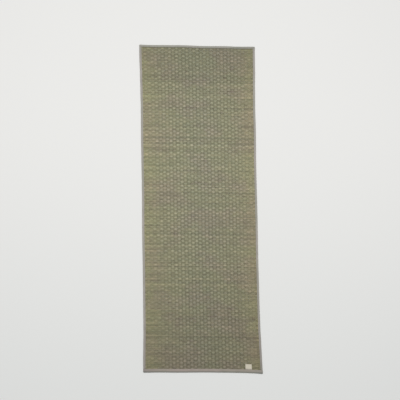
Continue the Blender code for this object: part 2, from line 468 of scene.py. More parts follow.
def liveliness(x, y):
    """How much of its full rise the weave has at a place."""
    near_foot = 1 - eased(y, CALM_FULL, CALM_FROM)
    left_reach = LEFT_CALM_REACH + (LEFT_CALM_REACH_AT_FOOT - LEFT_CALM_REACH) * near_foot
    reach = np.where(x < 0, left_reach, RIGHT_CALM_REACH)
    near_side = 1 - eased(SIDE_EDGE - abs(x), 0.0, reach)
    return 1 - near_side * (CALM_SHARE + (CALM_SHARE_AT_FOOT - CALM_SHARE) * near_foot)


print("rise left at the foot's left corner:", round(float(liveliness(-HALF_WIDTH, -HALF_LENGTH)), 2))

# %% [markdown]
# One formula now weaves every rush. Across a column the stalk is up or down, and at the column's edge it
# passes through the middle. A cushion is spread in its middle and pinched where it dives, and its third
# rush stands highest. Stalks touch, so each is a little wider than its share of the cushion.

# %% The weave at one point


def column_of(across):
    """The number of the column at a place from -0.5 to 0.5 across. One between two is in the second."""
    return ((across + 0.5) * COLUMNS + 0.01).astype(int).clip(0, COLUMNS - 1)


def float_of(across):
    """How the weave moves a stalk at a place across it: 1 or -1 on a float, 0 between two columns."""
    return np.clip(np.sin(pi * (across + 0.5) * COLUMNS) / sin(pi / CUTS_PER_COLUMN), -1, 1)


def points_of(numbers):
    """All points of these rushes, as two arrays: which rush each is on, and where on the template."""
    return np.repeat(numbers, len(RUSH_SHAPE)), np.tile(RUSH_SHAPE, (len(numbers), 1))


def tint_at(number, unit):
    """The tint of each point: its rush's own, and a little of its cushion's."""
    return RUSH_TINT[number] + CUSHION_TINT[number // RUSHES_PER_ROW, column_of(unit[:, 0])]


def calm_at(number, unit):
    """How calm the weave is at each point."""
    along = (number + 0.5) * RUSH_PITCH - WEAVE_LENGTH / 2
    return 1 - liveliness(unit[:, 0] * WEAVE_WIDTH, along)


def groove_at(number, unit):
    """How deep each point lies between two columns, from 0 on a float to 1."""
    return (1 - abs(float_of(unit[:, 0]))) * (1 - calm_at(number, unit))


first_rush = points_of(np.array([0]))
print("the first rush is calm by", round(float(calm_at(*first_rush).max()), 2), "at its ends")

# %% The formula of the weave
SPREAD = 0.13
PINCH = 0.10
FLATTEN = 0.10
OVERLAP = 1.06
RUSH_WANDER = 0.10 * MM
WANDER_LENGTH = 0.21


def woven(number, unit):
    """Where each point lies, as an array with a row for each."""
    row = number // RUSHES_PER_ROW
    from_middle = number % RUSHES_PER_ROW - (RUSHES_PER_ROW - 1) / 2

    x = unit[:, 0] * WEAVE_WIDTH
    up = float_of(unit[:, 0]) * np.where(row % 2 == 0, 1, -1)
    height = abs(up)

    row_middle = (row + 0.5) * ROW_LENGTH - WEAVE_LENGTH / 2
    spacing = RUSH_PITCH * (1 - PINCH + (PINCH + SPREAD) * height)
    wander = RUSH_WANDER * np.sin(x * 2 * pi / WANDER_LENGTH + RUSH_WAVE[number])
    y = row_middle + from_middle * spacing + RUSH_SHIFT[number] + wander

    cushion = column_of(unit[:, 0])
    lively = liveliness(x, y) * ROW_LOOSENESS[row] * CUSHION_RISE[row, cushion]
    crown = CROWN * (1 - (2 * from_middle / (RUSHES_PER_ROW - 1)) ** 2)
    centre = (RUSH_RISE + crown) * up * lively + RUSH_LIFT[number]
    y = y + unit[:, 1] * spacing / 2 * RUSH_THICKNESS[number] * OVERLAP
    thick = RUSH_HALF_THICK * RUSH_THICKNESS[number] * (1 - FLATTEN * height)
    z = settled(x, y, centre + unit[:, 2] * thick)
    real_x, real_y = laid(x, y)
    return np.column_stack((real_x, real_y, z.clip(0.0, RUSH_HEIGHT)))


print("the first rush is", round(np.ptp(woven(*first_rush)[:, 0]) / MM, 1), "mm long")

# %% [markdown]
# A texture that is baked from this weave later needs a map in which no two faces overlap. The faces that
# look up get its left half, those that look down its right half, and each rush one narrow band. The map
# is named as the bake expects it.

# %% Lay out a map of the rushes
BAKE_MAP = "OFBake"
MAP_HALF = 0.5
MAP_USED = 0.49


def rush_map(mesh, count):
    """Gives a mesh of that many rushes its map."""
    corners = np.array([RUSH_SHAPE[loop.vertex_index] for loop in RUSH.loops])
    under = np.zeros(len(RUSH.loops))
    for face in RUSH.polygons:
        if face.normal.z < 0:
            under[list(face.loop_indices)] = MAP_HALF
    across = (corners[:, 0] + 0.5) * MAP_USED + under
    along = (corners[:, 1] + 1) / 2
    u = np.tile(across, count)
    v = (np.repeat(np.arange(count), len(along)) + np.tile(along, count)) / count
    mesh.uv_layers.new(name=BAKE_MAP).uv.foreach_set("vector", np.column_stack((u, v)).ravel())


print("each rush lays out", len(RUSH.loops), "corners on the map")

# %% [markdown]
# Eight hundred rushes in one mesh would be too heavy, so the field is woven in four sections that meet
# between two rows of cushions. A section's mesh is the one rush appended again and again. Its points
# are then moved in one go by the formula.

# %% Weave the four sections
SECTION_NAMES = ("rush_foot", "rush_lower_middle", "rush_upper_middle", "rush_head")
ROW_SPLITS = (0, 42, 83, 124, ROWS)


def appended(template, times, name):
    """A mesh of that many copies of a template, all in the same place."""
    pile = bmesh.new()
    for _ in range(times):
        pile.from_mesh(template)
    return mesh_of(pile, name)


def store(mesh, name, values):
    """Stores one number for each point of a mesh, for its material to read."""
    mesh.attributes.new(name, "FLOAT", "POINT").data.foreach_set("value", values)


def rush_section(name, first_row, last_row, finish):
    """The woven rushes of these rows, as one piece."""
    numbers = np.arange(first_row * RUSHES_PER_ROW, last_row * RUSHES_PER_ROW)
    mesh = appended(RUSH, len(numbers), name)
    points = points_of(numbers)
    mesh.vertices.foreach_set("co", woven(*points).ravel())
    store(mesh, "rush_tint", tint_at(*points))
    store(mesh, "groove_depth", groove_at(*points))
    store(mesh, "rush_calm", calm_at(*points))
    rush_map(mesh, len(numbers))
    return new_piece(name, mesh, finish)


print("rows in each section:", np.diff(ROW_SPLITS))

# %% [markdown]
# Dried rush is grey-green, with straw and brown stalks among it and yellower ends. The crowns are painted
# paler and greyer, as a painted highlight, and the hollows between them darker and warmer, as painted
# shade.
# One noise could mottle it all, but each change has its own cause and scale, so the colour is built in
# layers: the stalk's own tint with streaks along it, slow patches, painted light and shade along the mat,
# the change across it, the painted shade and highlight of the depth, the painted shade of the grooves
# between columns, and bands of lighter and darker stalks, which are strongest where the weave is calm.

# %% Colours of the rush
RUSH_GREEN = (0.426, 0.428, 0.297, 1.0)
RUSH_STRAW = (0.577, 0.538, 0.374, 1.0)
RUSH_BROWN = (0.347, 0.304, 0.226, 1.0)
PATCH_MAUVE = (1.0, 0.95, 0.99, 1.0)
PATCH_GREEN = (0.99, 1.01, 0.95, 1.0)
# Painted shade in the hollows and a painted highlight on the crowns, mixed by height over the weave's
# middle.
HOLLOW_PAINTED_SHADE = (0.780, 0.776, 0.730, 1.0)
CROWN_PAINTED_HIGHLIGHT = (1.077, 1.080, 1.135, 1.0)
# Painted shade in the grooves between two columns.
GROOVE_RANGE = (0.1, 1.0)
GROOVE_SHADE = 0.84
TINT_SHARE = 0.55
STREAK_SHARE = 0.75
STREAK_SCALE = (9.0, 480.0, 0.0)
STRAW_RANGE = (0.50, 0.98)
BROWN_RANGE = (0.50, 0.28)
PATCH_SCALE = (5.0, 7.0, 0.0)
PATCH_RANGE = (0.42, 0.62)
PAINTED_DEPTH_RANGE = (0.1 * MM, 1.35 * MM)
BAND_SCALE = (0.6, 75.0, 0.0)
BAND_STRENGTH = 0.30
CALM_BAND_STRENGTH = 0.82
CALM_RANGE = (0.0, 0.4)
FIBRE_SCALE = (60.0, 5200.0, 0.0)
FIBRE_RANGE = (0.3, 0.7)
ROUGHNESS_RANGE = (0.48, 0.68)
# Painted light and shade along the mat's length, from foot to head: darker towards both ends and lightest
# two thirds of the way to the head, on top of the lamp's own fall-off: (share of the length, colour).
LENGTH_PAINTED_LIGHT = (
    (0.00, (0.69, 0.67, 0.67)),
    (0.10, (0.77, 0.75, 0.75)),
    (0.25, (0.86, 0.85, 0.84)),
    (0.40, (0.94, 0.93, 0.93)),
    (0.66, (1.01, 1.01, 1.01)),
    (0.80, (0.965, 0.965, 0.965)),
    (0.92, (0.875, 0.870, 0.875)),
    (1.00, (0.78, 0.78, 0.78)),
)
# The stalks are yellower towards the mat's left side and browner towards its right one.
WIDTH_TONES = (
    (0.00, (1.015, 0.997, 0.90)),
    (0.22, (0.92, 0.905, 0.88)),
    (0.50, (0.875, 0.877, 0.875)),
    (0.78, (0.892, 0.877, 0.856)),
    (1.00, (0.985, 0.945, 0.86)),
)
print("tones along the mat:", len(LENGTH_PAINTED_LIGHT), "and across it:", len(WIDTH_TONES))

# %% The finish of the rush


def tones_along(tree, value, size, tones):
    """A colour that changes along an axis of the mat. value is the place on it, size the mat's size."""
    share = maths(tree, "MULTIPLY_ADD", value, 1 / size, 0.5)
    ramp = add_node(tree, "ValToRGB", {"Fac": share})
    ramp.color_ramp.interpolation = "EASE"
    stops = ramp.color_ramp.elements
    while len(stops) < len(tones):
        stops.new(0.5)
    for stop, (at, tone) in zip(stops, tones):
        stop.position = at
        stop.color = (*tone, 1.0)
    return ramp.outputs["Color"]


def rush_finish():
    """Dried rush, stalk by stalk."""
    finish, tree, shader = new_material("woven_rush_finish", 0.55, specular=0.35, sheen=0.08)
    place = object_place(tree)
    axes = axes_of(tree, place)

    streak = maths(tree, "MULTIPLY", stretched_noise(tree, place, STREAK_SCALE), STREAK_SHARE)
    warmth = maths(tree, "MULTIPLY_ADD", stored_value(tree, "rush_tint"), TINT_SHARE, streak)
    colour = blended(tree, "MIX", smooth_range(tree, warmth, *STRAW_RANGE), RUSH_GREEN, RUSH_STRAW)
    colour = blended(tree, "MIX", smooth_range(tree, warmth, *BROWN_RANGE), colour, RUSH_BROWN)

    mauve = smooth_range(tree, stretched_noise(tree, place, PATCH_SCALE, 3.0), *PATCH_RANGE)
    patches = blended(tree, "MIX", mauve, PATCH_GREEN, PATCH_MAUVE)
    # Painted light and shade along the mat's length.
    along = tones_along(tree, axes["Y"], cad_high.y - cad_low.y, LENGTH_PAINTED_LIGHT)
    across = tones_along(tree, axes["X"], cad_high.x - cad_low.x, WIDTH_TONES)

    # Painted shade in the hollows, a painted highlight on the crowns and painted shade in the grooves;
    # the bands are the stalks' own colour.
    over = maths(tree, "ABSOLUTE", maths(tree, "SUBTRACT", axes["Z"], MIDDLE_HEIGHT))
    depth = blended(tree, "MIX", smooth_range(tree, over, *PAINTED_DEPTH_RANGE), HOLLOW_PAINTED_SHADE, CROWN_PAINTED_HIGHLIGHT)
    groove = smooth_range(tree, stored_value(tree, "groove_depth"), *GROOVE_RANGE, 1.0, GROOVE_SHADE)
    band = maths(tree, "SUBTRACT", stretched_noise(tree, place, BAND_SCALE, 3.0), 0.5)
    calm = stored_value(tree, "rush_calm")
    strength = smooth_range(tree, calm, *CALM_RANGE, BAND_STRENGTH, CALM_BAND_STRENGTH)
    banding = maths(tree, "MULTIPLY_ADD", band, strength, 1.0)
    shade = grey_of(tree, maths(tree, "MULTIPLY", groove, banding))
    for layer in (patches, along, across, depth, shade):
        colour = blended(tree, "MULTIPLY", 1.0, colour, layer)

    fibre = stretched_noise(tree, place, FIBRE_SCALE)
    paint(tree, shader, colour, fibre, 0.35, 0.15 * MM)
    roughness = smooth_range(tree, fibre, *FIBRE_RANGE, *ROUGHNESS_RANGE)
    tree.links.new(roughness, shader.inputs["Roughness"])
    return finish


rush_material = rush_finish()
section_rows = list(zip(SECTION_NAMES, ROW_SPLITS, ROW_SPLITS[1:]))
rush_sections = [rush_section(name, first, last, rush_material) for name, first, last in section_rows]
print("woven:", [(piece.name, len(piece.data.polygons)) for piece in rush_sections])

# %% [markdown]
# The warp is what holds the rushes: thin cotton cords run the mat's whole length, two to each column.
# They pass over the rushes that dive and under those that rise, so they show only in the hollows. A cord
# is the same tube again, turned along the mat, with a ring at the middle of each row.

# %% Thread the warp cords
CORD_OFFSET = 0.19
CORD_HALF_WIDTH = 0.42 * MM
CORD_HALF_HEIGHT = 0.30 * MM
CORD_LIFT = 0.22 * MM
CORD_DUSTY = (0.245, 0.222, 0.150, 1.0)
CORD_CLEAN = (0.345, 0.315, 0.225, 1.0)
TWIST_SCALE = (900.0, 700.0, 0.0)


def repeated(name, template, places, finish):
    """A piece of one copy of a template for each array of points."""
    mesh = appended(template, len(places), name)
    mesh.vertices.foreach_set("co", np.concatenate(places).ravel())
    return new_piece(name, mesh, finish)


def warp_cords(finish):
    """All the warp cords, as one piece."""
    template = lying_tube(ROWS - 1, Y_AXIS)
    unit = vertex_places(template)
    row = np.round((unit[:, 1] + 0.5) * (ROWS - 1))
    y = (row + 0.5) * ROW_LENGTH - WEAVE_LENGTH / 2
    places = []
    for column in range(COLUMNS):
        for side in (-1, 1):
            x_middle = (column + 0.5 + side * CORD_OFFSET) * COLUMN_WIDTH - WEAVE_WIDTH / 2
            x = x_middle + unit[:, 0] * CORD_HALF_WIDTH
            rushes_rise = np.where((row + column) % 2 == 0, 1, -1)
            lift = -rushes_rise * CORD_LIFT + unit[:, 2] * CORD_HALF_HEIGHT
            z = settled(x, y, lift * liveliness(x, y))
            places.append(np.column_stack((*laid(x, y), z)))
    return repeated("warp_cords", template, places, finish)


def cord_finish():
    """Undyed twisted cotton: slanting twist lines give the bump, and dust dulls the colour."""
    finish, tree, shader = new_material("warp_cotton", 0.85)
    place = object_place(tree)
    waves = {"Vector": scaled(tree, place, TWIST_SCALE), "Scale": 1.0, "Distortion": 0.4}
    twist = add_node(tree, "TexWave", waves, bands_direction="DIAGONAL").outputs["Fac"]
    dust = stretched_noise(tree, place, (40.0, 40.0, 0.0))
    paint(tree, shader, blended(tree, "MIX", dust, CORD_DUSTY, CORD_CLEAN), twist, 0.4, 0.1 * MM)
    return finish


cords = warp_cords(cord_finish())
print("warp cords:", len(cords.data.polygons), "faces")

# %% [markdown]
# The binding tape is a flat ribbon folded round the edge and sewn through. It could be a curve swept by
# a profile, but a grid is closer to the real cloth: its rows follow the edge, and its columns go round
# the fold. Solidify then gives it thickness. Sewing pulls the cloth down, so a shallow groove runs along
# the stitches, and the free edge beyond them wanders a little.

# %% The shape of a folded tape
TAPE_THICKNESS = 0.95 * MM
ROW_STEP = 3.0 * MM
FOLD_STEPS = 6
LEG_STEPS = (0.0, 1.3, 2.6, 3.9, 7.0)
STITCH_INSET = 2.6 * MM
GROOVE_DEPTH = 0.34 * MM
GROOVE_HALF_WIDTH = 1.1 * MM
EDGE_WANDER = 0.35 * MM
EDGE_REACH = 4.0 * MM
PUCKER = 0.13 * MM
PUCKER_LENGTH = 4.1 * ROW_STEP
PINCHED_HEIGHT = 2.3 * MM
CLEARANCE = 0.3 * MM
PINCH_RUN = TAPE_HEIGHT / 2 - CLEARANCE
LAP = 1.2 * MM
LAP_RISE = 0.85 * MM
LAP_RISE_SHARE = 0.45
CORNER_RADIUS = 4.0 * MM
UNDERSIDE_SHARE = 0.3


def fold_columns(width):
    """The columns of a tape, as (leg, share): leg is -1 below, 1 above, and 0 on the fold, where share is
    the angle. On a leg, share is the distance from the mat's edge."""
    leg = [width - step * MM for step in LEG_STEPS]
    angles = [radians(-90 + 180 * step / FOLD_STEPS) for step in range(FOLD_STEPS + 1)]
    lower = [(-1, place) for place in leg]
    upper = [(1, place) for place in reversed(leg)]
    return lower + [(0, angle) for angle in angles] + upper


def edge_wander(along, phase):
    """A slow, uneven wandering from -1 to 1: two waves whose lengths never fall into step."""
    return 0.6 * sin(along * 71.0 + phase) + 0.4 * sin(along * 163.0 + 2.3 * phase)


def sewn_surface(along, inward, width, phase):
    """How far the sewing moves a leg's surface at a place: down in a groove along the stitches, and up
    or down in puckers that grow towards the free edge."""
    from_stitches = (width - STITCH_INSET - inward) / GROOVE_HALF_WIDTH
    groove = -GROOVE_DEPTH * exp(-from_stitches * from_stitches)
    pucker = PUCKER * sin(along * 2 * pi / PUCKER_LENGTH + phase) * edge_wander(along * 1.7, phase)
    return groove + pucker * (inward / width)


def pinched(from_end):
    """A tape's height near a turned-in end, which rounds down like a quarter circle."""
    share = min(max(from_end, 0.0) / PINCH_RUN, 1.0)
    return PINCHED_HEIGHT + (TAPE_HEIGHT - PINCHED_HEIGHT) * sqrt(1 - (1 - share) ** 2)


print("a tape has", len(fold_columns(SIDE_TAPE_WIDTH)), "columns of points round its fold")

# %% [markdown]
# The cloth's own map runs over the unfolded tape, so the weave of the cotton isn't stretched on the fold.
# One function then makes the grid, places its points and lays it on the mat's real edge.

# %% Fold a tape


def tape_point(along, column, width, end, phase):
    """A point of a tape's middle line, as (inward, up). end holds the tape's height there, its lap over
    another tape from 0 to 1, and how much what lies below lifts its upper leg."""
    leg, share = column
    height, ear, lift = end
    radius = (height - TAPE_THICKNESS) / 2
    if leg == 0:
        return height / 2 - radius * cos(share), height / 2 + radius * sin(share)
    free_edge = eased(share, width - EDGE_REACH, width)
    inward = share + free_edge * EDGE_WANDER * edge_wander(along, phase + leg)
    surface = sewn_surface(along, share, width, phase)
    if leg > 0:
        inward += free_edge * LAP * ear
        rise = eased(share, TAPE_HEIGHT / 2, width * LAP_RISE_SHARE)
        return inward, height / 2 + radius + surface + rise * (LAP_RISE * ear + lift)
    return inward, height / 2 - radius - surface * UNDERSIDE_SHARE


def developed(width):
    """The width of a tape once it is unfolded: two legs and the half circle between them."""
    return 2 * (width - TAPE_HEIGHT / 2) + pi * (TAPE_HEIGHT - TAPE_THICKNESS) / 2


def unfolded(width, column):
    """How far a column of a tape lies from its lower free edge once the tape is unfolded."""
    leg, share = column
    if leg < 0:
        return width - share
    if leg > 0:
        return developed(width) - (width - share)
    return width - TAPE_HEIGHT / 2 + (share + pi / 2) * (TAPE_HEIGHT - TAPE_THICKNESS) / 2


def cloth_map(mesh, across, along):
    """Gives a grid its map. across and along are the shares of the cloth at its columns and rows."""
    corners = np.empty(len(mesh.loops), dtype=int)
    mesh.loops.foreach_get("vertex_index", corners)
    u = np.array(across)[corners % len(across)]
    v = np.array(along)[corners // len(across)]
    mesh.uv_layers.new(name=BAKE_MAP).uv.foreach_set("vector", np.column_stack((u, v)).ravel())


def thickened(piece, thickness):
    """The same piece, with a Solidify that gives its cloth a thickness, half to each side."""
    cloth = piece.modifiers.new("Cloth", "SOLIDIFY")
    cloth.thickness = thickness
    cloth.offset = 0.0
    return piece


def folded_tape(name, width, places, ends, to_mat, phase, finish):
    """A tape over one edge. ends(along) is what tape_point calls its end, and to_mat(along, inward) is
    that point on the straight mat."""
    columns = fold_columns(width)
    grid = bmesh.new()
    bmesh.ops.create_grid(grid, x_segments=len(columns) - 1, y_segments=len(places) - 1, size=0.5)
    grid.verts.ensure_lookup_table()
    for row, along in enumerate(places):
        end = ends(along)
        for number, column in enumerate(columns):
            inward, up = tape_point(along, column, width, end, phase)
            real_x, real_y = laid(*to_mat(along, inward))
            grid.verts[row * len(columns) + number].co = (real_x, real_y, up)
    mesh = mesh_of(grid, name)
    across = [unfolded(width, column) / developed(width) for column in columns]
    cloth_map(mesh, across, [(along - places[0]) / (places[-1] - places[0]) for along in places])
    return thickened(new_piece(name, mesh, finish), TAPE_THICKNESS)


print("a side tape unfolds to", round(developed(SIDE_TAPE_WIDTH) / MM, 1), "mm")

# %% [markdown]
# The two end tapes were sewn last. They run the full width, their ends are turned in, and they lap over
# the ends of the side tapes, so near a corner an end tape stands higher and its upper leg reaches
# slightly further. The side tapes are plain lengths between them.

# %% Two kinds of tape
LAP_RUN = 5.0 * MM
LABEL_RUN = 6.0 * MM
END_RUN = 3.0 * MM
TURNED_IN_STEPS = 4


def steps_between(first, last):
    """Places from first to last in even steps of about ROW_STEP."""
    count = round((last - first) / ROW_STEP)
    return [first + (last - first) * step / count for step in range(count + 1)]


def side_tape(name, side, phase, finish):
    """A tape over a long edge, side being -1 for the left and 1 for the right."""

    def ends(along):
        return TAPE_HEIGHT, 0.0, 0.0

    def to_mat(along, inward):
        return side * (HALF_WIDTH - inward), along

    places = steps_between(FOOT_EDGE + CLEARANCE, HEAD_EDGE - CLEARANCE)
    return folded_tape(name, SIDE_TAPE_WIDTH, places, ends, to_mat, phase, finish)


def lap_share(along):
    """1 where an end tape lies over a side tape, and 0 between them."""
    return float(1 - eased(HALF_WIDTH - abs(along), SIDE_TAPE_WIDTH, SIDE_TAPE_WIDTH + LAP_RUN))


def label_lift(along, end):
    """How much the label lifts an end tape, which is nothing at the head."""
    if end > 0:
        return 0.0
    from_label = abs(along - LABEL_FROM_MIDDLE) - LABEL_WIDTH / 2
    return LABEL_THICKNESS * float(1 - eased(from_label, 0.0, LABEL_RUN))


def end_tape(name, end, width, phase, finish):
    """A tape over a short edge, end being -1 for the foot and 1 for the head."""
    angles = [pi / 2 * step / TURNED_IN_STEPS for step in range(TURNED_IN_STEPS)]
    turned_in = [PINCH_RUN * (1 - cos(angle)) for angle in angles]
    places = [-HALF_WIDTH + run for run in turned_in]
    places += steps_between(PINCH_RUN - HALF_WIDTH, HALF_WIDTH - PINCH_RUN)
    places += [HALF_WIDTH - run for run in reversed(turned_in)]

    def ends(along):
        from_end = HALF_WIDTH - abs(along)
        lap = lap_share(along) * float(eased(from_end, 0.0, END_RUN))
        return pinched(from_end), lap, label_lift(along, end)

    def to_mat(along, inward):
        into_corner = min(max(CORNER_RADIUS - HALF_WIDTH + abs(along), 0.0), CORNER_RADIUS)
        pull = CORNER_RADIUS - sqrt(CORNER_RADIUS ** 2 - into_corner ** 2)
        inward += pull * float(1 - eased(inward, 0.0, 3 * CORNER_RADIUS))
        return along, end * (HALF_LENGTH - inward)

    return folded_tape(name, width, places, ends, to_mat, phase, finish)


print("the label lifts the foot tape by", round(label_lift(LABEL_FROM_MIDDLE, -1) / MM, 2), "mm")

# %% [markdown]
# The tape's finish is a plain cotton weave, grey with a hint of mauve. Object coordinates would smear it
# on the fold, so it reads the tape's own map, scaled to real thread widths. Slow blotches and a worn,
# paler fold break it up. On the foot tape the fold and the outer part of the upper leg are darker
# instead, which is painted shade.

# %% The finish of the tape
THREAD_PITCH = 0.9 * MM
WEAVE_SHADE = 0.22
BLOTCH_SHADE = 0.34
BLOTCH_SCALE = (26.0, 26.0, 0.0)
SLUB_SHADE = 0.22
SLUB_SCALE = (0.9, 0.05, 0.0)
DARKEST_TONE = 0.72
FOLD_RANGE = (0.16, 0.02)
FOLD_WEAR = 0.8
FADED_TINT = (0.93, 0.97, 0.93, 1.0)
FADED_SCALE = (6.0, 3.0, 0.0)
FADED_RANGE = (0.42, 0.60)


def woven_threads(tree, threads):
    """A plain weave as a height from 0 to 1. threads counts the threads along and across."""
    axes = axes_of(tree, threads)
    warp = maths(tree, "SINE", maths(tree, "MULTIPLY", axes["X"], 2 * pi))
    weft = maths(tree, "SINE", maths(tree, "MULTIPLY", axes["Y"], 2 * pi))
    return maths(tree, "MULTIPLY_ADD", maths(tree, "MULTIPLY", warp, weft), 0.5, 0.5)


def tape_finish(name, colour, fold_colour, width, length, tones_on_mat=None, stripe=None):
    """Cotton cloth of that flat width and length. An optional table may hold an axis of the mat, the
    mat's size on it and the tones along it, which on the side tapes are painted shade. An optional stripe
    may hold an axis of the cloth's map, the places on it between which the colour changes, and the colour
    it changes to, which is painted shade on the foot tape and the label."""
    finish, tree, shader = new_material(name, 0.88, specular=0.25, sheen=0.15)
    own_map = add_node(tree, "UVMap", uv_map=BAKE_MAP).outputs["UV"]
    on_cloth = axes_of(tree, own_map)
    threads = scaled(tree, own_map, (width / THREAD_PITCH, length / THREAD_PITCH, 0.0))
    weave = woven_threads(tree, threads)

    place = object_place(tree)
    blotch = stretched_noise(tree, place, BLOTCH_SCALE, 4.0)
    slub = stretched_noise(tree, threads, SLUB_SCALE, 2.0)
    slub_tone = maths(tree, "MULTIPLY_ADD", slub, SLUB_SHADE, DARKEST_TONE)
    tone = maths(tree, "MULTIPLY_ADD", blotch, BLOTCH_SHADE, slub_tone)
    thread_tone = maths(tree, "MULTIPLY_ADD", weave, WEAVE_SHADE, 1 - WEAVE_SHADE / 2)
    grey = grey_of(tree, maths(tree, "MULTIPLY", tone, thread_tone))
    from_fold = maths(tree, "ABSOLUTE", maths(tree, "SUBTRACT", on_cloth["X"], 0.5))
    fold = smooth_range(tree, from_fold, *FOLD_RANGE, 0.0, FOLD_WEAR)
    # Painted shade: a darker stripe across the cloth, on the foot tape's outer edge and on the label
    # where it goes under the foot tape.
    if stripe:
        axis, first, last, other = stripe
        changed = smooth_range(tree, on_cloth[axis], first, last)
        colour = blended(tree, "MIX", changed, colour, other)
    # The fold turns paler and worn on the side and head tapes; on the foot tape it turns darker, as
    # painted shade.
    base = blended(tree, "MIX", maths(tree, "MULTIPLY", fold, blotch), colour, fold_colour)
    faded = smooth_range(tree, stretched_noise(tree, place, FADED_SCALE), *FADED_RANGE)
    base = blended(tree, "MULTIPLY", faded, base, FADED_TINT)
    # Tones along the mat: painted shade on the side tapes, and darker ends on the head and foot tapes.
    if tones_on_mat:
        axis, size, tones = tones_on_mat
        tone_on_mat = tones_along(tree, axes_of(tree, place)[axis], size, tones)
        base = blended(tree, "MULTIPLY", 1.0, base, tone_on_mat)
    paint(tree, shader, blended(tree, "MULTIPLY", 1.0, base, grey), weave, 0.5, 0.2 * MM)
    return finish


print("one thread of the cotton is", round(THREAD_PITCH / MM, 2), "mm wide")

# %% [markdown]
# The tapes' tones change along them. The side tapes are darker at the foot and a little at the head,
# which is painted shade, as on the rush. The head tape is darker at its right end and the foot tape
# towards its ends. The foot tape is darker over the mat's edge, as painted shade. Each of these is a
# short table of tones along the mat, or a stripe across the cloth.

# %% Make the four tapes
SIDE_CLOTH = (0.360, 0.334, 0.305, 1.0)
HEAD_CLOTH = (0.345, 0.330, 0.300, 1.0)
FOOT_CLOTH = (0.332, 0.285, 0.255, 1.0)
# Painted shade over the mat's edge, on the foot tape's fold and the outer part of its upper leg.
FOOT_EDGE_SHADE_CLOTH = (0.240, 0.224, 0.200, 1.0)
WORN_CLOTH = (0.470, 0.445, 0.415, 1.0)
FOOT_SHADE_STRIPE = ("X", 0.73, 0.67, FOOT_EDGE_SHADE_CLOTH)
SIDE_FLAT = (developed(SIDE_TAPE_WIDTH), HEAD_EDGE - FOOT_EDGE)
HEAD_FLAT = (developed(HEAD_TAPE_WIDTH), MAT_WIDTH)
FOOT_FLAT = (developed(FOOT_TAPE_WIDTH), MAT_WIDTH)
# Painted shade along the side tapes: darker towards the foot and a little towards the head.
SIDE_PAINTED_SHADE = ("Y", MAT_LENGTH, (
    (0.00, (0.74, 0.73, 0.72)),
    (0.06, (0.84, 0.83, 0.83)),
    (0.18, (0.92, 0.92, 0.92)),
    (0.40, (1.00, 1.00, 1.00)),
    (0.92, (1.00, 1.00, 1.00)),
    (1.00, (0.90, 0.90, 0.90)),
))
# The head tape darkens towards its right end, and the foot tape towards both ends.
HEAD_TONES = ("X", MAT_WIDTH, (
    (0.30, (1.00, 0.99, 0.99)),
    (0.65, (0.95, 0.96, 0.94)),
    (0.85, (0.86, 0.87, 0.85)),
    (1.00, (0.84, 0.85, 0.82)),
))
FOOT_TONES = ("X", MAT_WIDTH, (
    (0.00, (0.80, 0.82, 0.84)),
    (0.09, (0.95, 0.95, 0.95)),
    (0.16, (1.00, 1.00, 1.00)),
    (0.90, (1.00, 1.00, 1.00)),
    (1.00, (0.92, 0.95, 0.98)),
))
# No two tapes wander and pucker alike, so each starts its waves at a phase of its own.
LEFT_PHASE, RIGHT_PHASE, HEAD_PHASE, FOOT_PHASE = 0.4, 2.1, 3.3, 4.7
side_cotton = tape_finish("side_tape_cotton", SIDE_CLOTH, WORN_CLOTH, *SIDE_FLAT, SIDE_PAINTED_SHADE)
head_cotton = tape_finish("head_tape_cotton", HEAD_CLOTH, WORN_CLOTH, *HEAD_FLAT, HEAD_TONES)
foot_cotton = tape_finish(
    "foot_tape_cotton", FOOT_CLOTH, FOOT_EDGE_SHADE_CLOTH, *FOOT_FLAT, FOOT_TONES, FOOT_SHADE_STRIPE
)
left_tape = side_tape("left_tape", -1, LEFT_PHASE, side_cotton)
right_tape = side_tape("right_tape", 1, RIGHT_PHASE, side_cotton)
head_tape = end_tape("head_tape", 1, HEAD_TAPE_WIDTH, HEAD_PHASE, head_cotton)
foot_tape = end_tape("foot_tape", -1, FOOT_TAPE_WIDTH, FOOT_PHASE, foot_cotton)
print("the foot tape unfolds to", round(FOOT_FLAT[0] / MM, 1), "mm")

# %% [markdown]
# A lockstitch seam holds each tape. A stitch is a short, slightly fat thread that dips into the cloth at
# both ends, which a flattened ball shows well enough at this size. There are over eighteen hundred, above
# and below, so each has only a few faces.

# %% Make one stitch
STITCH_PITCH = 5.0 * MM
STITCH_SIZE = (1.9 * MM, 0.36 * MM, 0.30 * MM)
STITCH_SINK = 0.10 * MM


def stitch_ball():
    """One stitch as a ball of radius one. The operator gives its faces another order on each run, so
    they are sorted by where they lie."""
    ball = bmesh.new()
    bmesh.ops.create_uvsphere(ball, u_segments=6, v_segments=4, radius=1.0)
    ball.faces.sort(key=lambda face: face.calc_center_median().dot((1, 10, 100)))
    return mesh_of(ball, "stitch_ball")


STITCH = stitch_ball()
print("one stitch has", len(STITCH.polygons), "faces")

# %% Sew the tapes
SEAM_GREY = (0.40, 0.375, 0.34, 1.0)


def sewn_row(first, last, pitch, size, surfaces, axis, beside):
    """The points of a row of stitches along an axis, one array for each stitch. surfaces(along) is the
    heights at which a stitch lies there, and beside is the row's place on the other axis."""
    unit = vertex_places(STITCH)
    row = []
    for number in range(int((last - first) / pitch)):
        along = first + (number + 0.5) * pitch
        x, y = laid(along, beside) if axis == X_AXIS else laid(beside, along)
        row += [unit * size + (x, y, height) for height in surfaces(along)]
    return row


